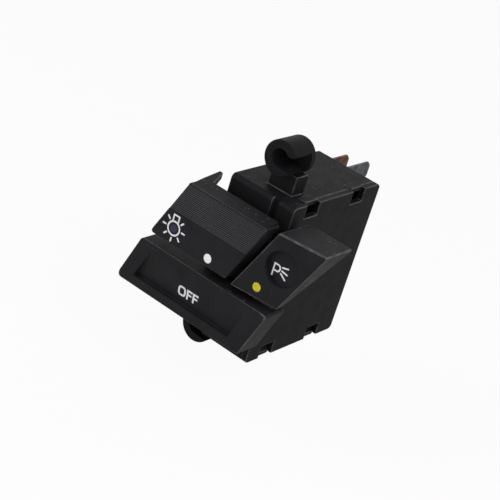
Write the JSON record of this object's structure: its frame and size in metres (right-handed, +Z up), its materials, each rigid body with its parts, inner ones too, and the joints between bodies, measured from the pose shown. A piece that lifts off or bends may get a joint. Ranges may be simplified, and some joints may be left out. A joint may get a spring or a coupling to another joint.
{
  "type": "headlight switch",
  "caption": "Black push-key headlight switch with headlight, parking lamp and OFF keys, a clipped side cover, open mounting clips above and below, and blade terminals at the back.",
  "frame": {"origin": "on the axis of the upper clip's bore, half way along its open stretch", "axes": "+X to the right of the key faces, +Y to the back along the rods that the clips grip, +Z up"},
  "size_m": [0.0667, 0.0698, 0.0738],
  "materials": {
    "black_plastic": "satin",
    "key_plastic": "satin",
    "white_plastic": "satin",
    "yellow_plastic": "satin",
    "slider_plastic": "satin",
    "spring_steel": "satin",
    "copper_alloy": "satin",
    "tinned_blade": "satin"
  },
  "bodies": {
    "housing": {"housing": "black_plastic", "side_cover": "black_plastic", "terminal_1": "copper_alloy", "terminal_2": "copper_alloy", "terminal_3": "copper_alloy", "terminal_4": "copper_alloy", "terminal_5": "tinned_blade", "terminal_6": "tinned_blade", "terminal_7": "tinned_blade", "terminal_8": "tinned_blade", "headlight_spring": "spring_steel", "parking_spring": "spring_steel", "off_spring": "spring_steel", "latch_spring": "spring_steel"},
    "headlight_key": {"headlight_cap": "key_plastic", "white_indicator": "white_plastic", "headlight_slider": "slider_plastic", "headlight_contact": "copper_alloy"},
    "parking_key": {"parking_cap": "key_plastic", "yellow_indicator": "yellow_plastic", "parking_slider": "slider_plastic", "parking_contact": "copper_alloy"},
    "off_key": {"off_cap": "key_plastic", "off_slider": "slider_plastic"},
    "latch": {"latch_bar": "spring_steel"}
  },
  "joints": [
    {"name": "headlight_press", "type": "slide", "parent": "housing", "child": "headlight_key", "axis": [0, 1, 0], "range_m": [0, 0.0028], "stiffness_N_per_m": 400, "springref_m": -0.005, "deforming": ["headlight_spring"]},
    {"name": "parking_press", "type": "slide", "parent": "housing", "child": "parking_key", "axis": [0, 1, 0], "range_m": [0, 0.0028], "stiffness_N_per_m": 400, "springref_m": -0.005, "deforming": ["parking_spring"]},
    {"name": "off_press", "type": "slide", "parent": "housing", "child": "off_key", "axis": [0, 1, 0], "range_m": [0, 0.0028], "stiffness_N_per_m": 400, "springref_m": -0.005, "deforming": ["off_spring"]},
    {"name": "latch_slide", "type": "slide", "parent": "housing", "child": "latch", "axis": [0, 0, 1], "range_m": [0, 0.0014], "deforming": ["latch_spring"]}
  ],
  "couplings": [
    {"joint": "latch_slide", "follows": "off_press", "ratio": 0.5}
  ]
}
